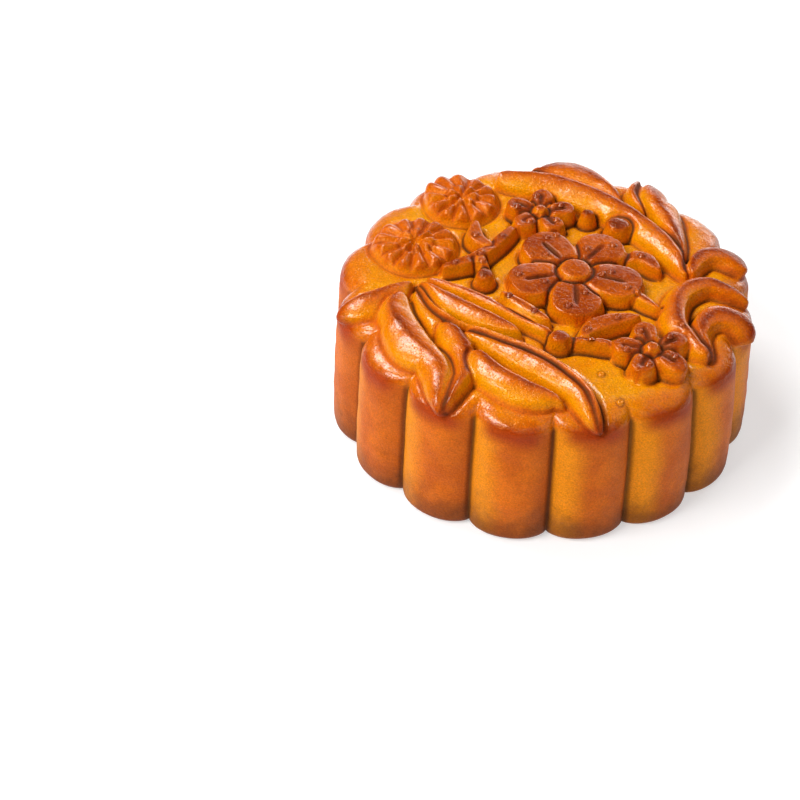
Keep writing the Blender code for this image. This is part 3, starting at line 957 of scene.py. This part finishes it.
# %% Colours of the side
BLOTCH_SCALE = 110
BLOTCH_SPAN = (0.34, 0.66)
FLANK_WAVER = 6
LIT_FLANK_SPAN = (-0.02, -0.66)
LIT_FLANK_SHARE = 0.85
LIT_FLANK_LOSS_ON_RIGHT = 0.75
SHADED_FLANK_SPAN = (0.30, 0.90)
SHADED_FLANK_SHARE = 0.55
RIGHT_SHADE_SHARE = 0.35
SIDE_BROWN = linear(180, 79, 8)
SIDE_GOLD = linear(204, 99, 10)
LIT_FLANK_GOLD = linear(222, 132, 2)
SHADED_FLANK_BROWN = linear(172, 78, 10)
RIGHT_SHADE_BROWN = linear(158, 66, 12)
blotches = spread(tree, noise_node(tree, where, BLOTCH_SCALE, 5.0, 0.65), *BLOTCH_SPAN)
side_colour = mix_colour(tree, blotches, SIDE_BROWN, SIDE_GOLD)
heat = attribute_value(tree, "heat")
flank = plus(tree, attribute_value(tree, "flank"), times(tree, waver, FLANK_WAVER))
# Painted light and shade: the flank of each lobe towards the key light is painted pale gold, the other flank
# darker brown.
painted_lit_flank = spread(tree, flank, *LIT_FLANK_SPAN)
painted_lit_flank = times(tree, painted_lit_flank, rest_of(tree, times(tree, heat, LIT_FLANK_LOSS_ON_RIGHT)))
painted_shaded_flank = spread(tree, flank, *SHADED_FLANK_SPAN)
side_colour = mix_colour(tree, times(tree, painted_lit_flank, LIT_FLANK_SHARE), side_colour, LIT_FLANK_GOLD)
side_colour = mix_colour(tree, times(tree, painted_shaded_flank, SHADED_FLANK_SHARE), side_colour, SHADED_FLANK_BROWN)
# Painted shade: the lobes on the right of the cake are painted a darker brown.
side_colour = mix_colour(tree, times(tree, heat, RIGHT_SHADE_SHARE), side_colour, RIGHT_SHADE_BROWN)
print("five side colours are mixed")

# %% [markdown]
# Three things darken the side: the smudged foot, browned on the hot tray it stood on and with painted
# contact shade, painted shade in the narrow grooves, and a band under the shoulder where the egg ran
# together and browned. The band fades out towards the grooves.

# %% Foot, painted groove shade and band
SMUDGE_SCALE = 170
SMUDGE_SHARE = 0.5
FOOT_SHADE_SPAN = (0.66, 1.02)
FOOT_SHADE_SHARE = 0.74
GROOVE_SHADE_SPAN = (0.86, 0.99)
GROOVE_SHADE_SHARE = 0.75
BAND_TOP_SPAN = (0.10, 0.17)
BAND_FOOT_SPAN = (0.31, 0.20)
BAND_CROWN_SPAN = (0.95, 0.45)
BAND_SHARE = 0.85
FOOT_BROWN_AND_SHADE = linear(84, 34, 12)
GROOVE_SHADE_BROWN = linear(60, 22, 6)
BAND_BROWN = linear(146, 34, 1)
smudges = centred(tree, noise_node(tree, where, SMUDGE_SCALE, 4.0, 0.6))
# Browning and painted shade: the foot is darkened, partly as browning from the tray and partly as painted
# contact shade.
foot = spread(tree, plus(tree, drop, times(tree, smudges, SMUDGE_SHARE)), *FOOT_SHADE_SPAN)
side_colour = mix_colour(tree, times(tree, foot, FOOT_SHADE_SHARE), side_colour, FOOT_BROWN_AND_SHADE)
# Painted shade: the narrow grooves between the lobes are darkened.
groove = spread(tree, off_crown, *GROOVE_SHADE_SPAN)
side_colour = mix_colour(tree, times(tree, groove, GROOVE_SHADE_SHARE), side_colour, GROOVE_SHADE_BROWN)
band = times(tree, spread(tree, wavy_drop, *BAND_TOP_SPAN), spread(tree, wavy_drop, *BAND_FOOT_SPAN))
band = times(tree, band, spread(tree, off_crown, *BAND_CROWN_SPAN))
whole = mix_colour(tree, dry, top_colour, side_colour)
whole = mix_colour(tree, times(tree, band, BAND_SHARE), whole, BAND_BROWN)
print("top and side meet at the band")

# %% [markdown]
# A fine grain of light and dark specks lies over all of it, as flour and sugar give. Painted shade is drawn
# last, in nearly black browns, in the pressed creases and in the rings round the pips, because it stays the
# same on any colour below it.

# %% Grain and painted shade in the creases
GRAIN_SCALE = 3200
GRAIN_LOW = 0.48
GRAIN_SPREAD = 1.04
CREASE_SHADE_SPAN = (0.32, 0.80)
CREASE_SHADE_SHARE = 0.92
PIP_SHADE_SHARE = 0.55
CREASE_SHADE_BROWN = linear(50, 14, 1)
PIP_SHADE_BROWN = linear(84, 24, 1)
grain = times(tree, noise_node(tree, where, GRAIN_SCALE, 2.0), GRAIN_SPREAD)
whole = mix_colour(tree, 1.0, whole, plus(tree, GRAIN_LOW, grain), "MULTIPLY")
# Painted shade: the pressed creases are darkened to nearly black brown.
crease_shade = times(tree, spread(tree, crease_line, *CREASE_SHADE_SPAN), CREASE_SHADE_SHARE)
whole = mix_colour(tree, crease_shade, whole, CREASE_SHADE_BROWN)
# Painted shade: a thin dark ring around the foot of each pip.
pip_shade_line = times(tree, attribute_value(tree, "pip_shade_ring"), PIP_SHADE_SHARE)
whole = mix_colour(tree, pip_shade_line, whole, PIP_SHADE_BROWN)
tree.links.new(whole, shader.inputs["Base Color"])
print("crust colours are linked")

# %% [markdown]
# The glaze shines in two layers. The browned egg itself has a soft, golden gloss, broken by its wrinkles.
# Over it lies a clear film, the coat, which gives the white glints. The film has small flaws and brush
# marks, misses steep walls and creases, and is thin where the crust baked driest. The dry side has no film:
# it is rough, with pores for bump.

# %% Gloss of the crust
GLOSS_LEVEL = 0.35
GLOSS_TINT = (1.0, 0.62, 0.22, 1)
GLAZE_ROUGHNESS = 0.06
BREAK_SCALE = 700
BREAK_ROUGHNESS = 0.16
MATTE_ROUGHNESS = 0.45
MATTE_CREASE_SPAN = (0.02, 0.30)


def golden_gloss(shader):
    shader.inputs["Specular IOR Level"].default_value = GLOSS_LEVEL
    shader.inputs["Specular Tint"].default_value = GLOSS_TINT


matte = math_node(tree, "MAXIMUM", dry, spread(tree, crease_line, *MATTE_CREASE_SPAN))
breaks = times(tree, noise_node(tree, where, BREAK_SCALE, 3.0, 0.6), BREAK_ROUGHNESS)
rough = plus(tree, plus(tree, GLAZE_ROUGHNESS, breaks), times(tree, matte, MATTE_ROUGHNESS))
tree.links.new(rough, shader.inputs["Roughness"])
golden_gloss(shader)
print("roughness of glaze and side from", GLAZE_ROUGHNESS, "and", GLAZE_ROUGHNESS + MATTE_ROUGHNESS)

# %% The clear film
STEEP_SPAN = (1.15, 0.35)
FLAW_SCALE = 2600
FLAW_SPAN = (0.36, 0.54)
FILM_EDGE_SPAN = (0.175, 0.135)
BRUSH_SCALE = 280
BRUSH_SPAN = (0.30, 0.54)
BAKED_SPAN = (0.53, 0.64)
BAKED_LOSS = 0.6
FILM_ROUGHNESS = 0.16
flaws = spread(tree, noise_node(tree, where, FLAW_SCALE, 2.0, 0.6), *FLAW_SPAN)
film = times(tree, spread(tree, attribute_value(tree, "steep"), *STEEP_SPAN), flaws)
film = times(tree, film, spread(tree, wavy_drop, *FILM_EDGE_SPAN))
film = times(tree, film, spread(tree, noise_node(tree, where, BRUSH_SCALE, 2.0), *BRUSH_SPAN))
film = times(tree, film, rest_of(tree, times(tree, spread(tree, toasted, *BAKED_SPAN), BAKED_LOSS)))
tree.links.new(times(tree, rest_of(tree, matte), film), shader.inputs["Coat Weight"])
shader.inputs["Coat Roughness"].default_value = FILM_ROUGHNESS
print("the film's roughness is", FILM_ROUGHNESS)

# %% Bump of the crust
PORE_SCALE = 2200
CRUST_BUMP = 0.0001
fine = place_group(tree, wrinkles, Vector=where, Fineness=1.0)
pores = noise_node(tree, where, PORE_SCALE, 3.0, 0.6)
bumps = plus(tree, times(tree, fine, rest_of(tree, dry)), times(tree, pores, dry))
add_bump(tree, shader, bumps, CRUST_BUMP)
crust.data.materials.append(crust_paint)
print("crust material has", len(tree.nodes), "nodes")

# %% [markdown]
# ## The pips' material
# A pip is the same dough under the same egg. It takes the toast of the shape that it sits on, and bakes a
# little darker, because it stands out into the heat. Its film is smoother, so each pip catches one glint.

# %% Material of the pips
PIP_BAKE = 0.25
PIP_BAKE_BY_TOAST = 0.7
PIP_ROUGHNESS = 0.10
PIP_BREAK_SCALE = 900
PIP_BREAK_ROUGHNESS = 0.2
PIP_FILM = 0.5
PIP_FILM_ROUGHNESS = 0.09
PIP_FINENESS = 1.5
PIP_BUMP = 0.00003
pip_paint, tree, shader = new_material("pip_paint")
where = tree.nodes.new("ShaderNodeTexCoord").outputs["Object"]
pip_bake = plus(tree, times(tree, attribute_value(tree, "toast"), PIP_BAKE_BY_TOAST), PIP_BAKE)
tree.links.new(place_group(tree, browning, Bake=pip_bake, Vector=where), shader.inputs["Base Color"])
breaks = times(tree, noise_node(tree, where, PIP_BREAK_SCALE), PIP_BREAK_ROUGHNESS)
tree.links.new(plus(tree, PIP_ROUGHNESS, breaks), shader.inputs["Roughness"])
golden_gloss(shader)
shader.inputs["Coat Weight"].default_value = PIP_FILM
shader.inputs["Coat Roughness"].default_value = PIP_FILM_ROUGHNESS
add_bump(tree, shader, place_group(tree, wrinkles, Vector=where, Fineness=PIP_FINENESS), PIP_BUMP)
pips.data.materials.append(pip_paint)
print("pip material has", len(tree.nodes), "nodes")

# %% [markdown]
# ## Tying the pieces to the frame
# Both pieces ride on the one body of the frame, and both are crust. The crust mesh stands for the solid.

# %% Tie the pieces to the frame
for piece in (crust, pips):
    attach(piece, "root")
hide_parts("mooncake")
print("the crust stands for the solid")

# %% [markdown]
# ## Floor, light and camera
# The floor is plain and pale, and glows a little so that it stays white around the soft shadow. The key box
# on the left and the back box give the glints on the shoulders and the leaves, and a low strip adds a thin
# one at the left edge. A large, soft fill in front lights the side, a weak panel opens up the right, and a
# low glow behind outlines the far lobes. The camera looks down on the top from half a metre away through a
# long lens. It is rolled by about a degree, and stands to the left, so the cake is right of the middle of
# the view.

# %% Floor
FLOOR_REACH = 3.0
FLOOR_GAP = 0.0001
FLOOR_GREY = 0.6
FLOOR_ROUGHNESS = 0.8
FLOOR_GLOW = 0.50
corners = [(-1, -1), (1, -1), (1, 1), (-1, 1)]
floor_mesh = bpy.data.meshes.new("floor")
floor_mesh.from_pydata([(FLOOR_REACH * x, FLOOR_REACH * y, 0) for x, y in corners], [], [(0, 1, 2, 3)])
floor = bpy.data.objects.new("floor", floor_mesh)
floor.location.z = -FLOOR_GAP
bpy.context.scene.collection.objects.link(floor)
floor_paint, tree, shader = new_material("floor_paint")
shader.inputs["Base Color"].default_value = (FLOOR_GREY, FLOOR_GREY, FLOOR_GREY, 1)
shader.inputs["Roughness"].default_value = FLOOR_ROUGHNESS
shader.inputs["Emission Color"].default_value = (1, 1, 1, 1)
shader.inputs["Emission Strength"].default_value = FLOOR_GLOW
floor.data.materials.append(floor_paint)
print("the floor is", 2 * FLOOR_REACH, "m wide")

# %% Lights
# azimuth and elevation in degrees, distance, width and height in metres, power in watts
SOFT_BOXES = {
    "key_box": (212, 49, 1.0, 0.56, 0.36, 7.8),
    "back_box": (142, 58, 1.0, 0.44, 0.34, 6.0),
    "left_strip": (200, 22, 1.1, 0.7, 0.25, 1.2),
    "front_fill": (294, 30, 2.0, 3.0, 1.6, 9),
    "right_panel": (25, 56, 1.5, 1.8, 1.3, 3.2),
    "back_glow": (66, 13, 1.4, 1.3, 0.36, 5.5),
}
SURROUND = 0.07


def soft_box(name, azimuth, elevation, distance, width, height, power):
    """A rectangular light that faces the cake. Azimuth 0 is the cake's right, 90 its back."""
    light = bpy.data.lights.new(name, "AREA")
    light.shape = "RECTANGLE"
    light.size, light.size_y, light.energy = width, height, power
    lamp = bpy.data.objects.new(name, light)
    a, e = math.radians(azimuth), math.radians(elevation)
    out = Vector((math.cos(a) * math.cos(e), math.sin(a) * math.cos(e), math.sin(e)))
    lamp.location = out * distance
    lamp.rotation_euler = out.to_track_quat("Z", "Y").to_euler()
    bpy.context.scene.collection.objects.link(lamp)


for name, values in SOFT_BOXES.items():
    soft_box(name, *values)
world = bpy.data.worlds.new("surround")
world.use_nodes = True
world.node_tree.nodes["Background"].inputs["Color"].default_value = (1, 1, 1, 1)
world.node_tree.nodes["Background"].inputs["Strength"].default_value = SURROUND
bpy.context.scene.world = world
bpy.context.scene.view_settings.view_transform = "Standard"
print(len(SOFT_BOXES), "lights and a dim surround")

# %% Camera
CAMERA_ELEVATION = math.radians(42.11)
CAMERA_ROLL = math.radians(1.37)
CAMERA_DISTANCE = 0.501
CAMERA_LENS = 112.46
SIDE_STEP = 0.0277
RISE_STEP = 0.00016
forward = Vector((0, math.cos(CAMERA_ELEVATION), -math.sin(CAMERA_ELEVATION)))
level_right = Vector((1, 0, 0))
level_up = level_right.cross(forward)
right = math.cos(CAMERA_ROLL) * level_right + math.sin(CAMERA_ROLL) * level_up
up = math.cos(CAMERA_ROLL) * level_up - math.sin(CAMERA_ROLL) * level_right
camera_data = bpy.data.cameras.new("camera")
camera_data.lens = CAMERA_LENS
camera_data.sensor_width = 36
camera = bpy.data.objects.new("camera", camera_data)
axes = Matrix((right, up, -forward)).transposed().to_4x4()
axes.translation = -(forward * CAMERA_DISTANCE + right * SIDE_STEP + up * RISE_STEP)
camera.matrix_world = axes
bpy.context.scene.collection.objects.link(camera)
bpy.context.scene.camera = camera
print("camera at", [round(v, 3) for v in camera.matrix_world.translation])
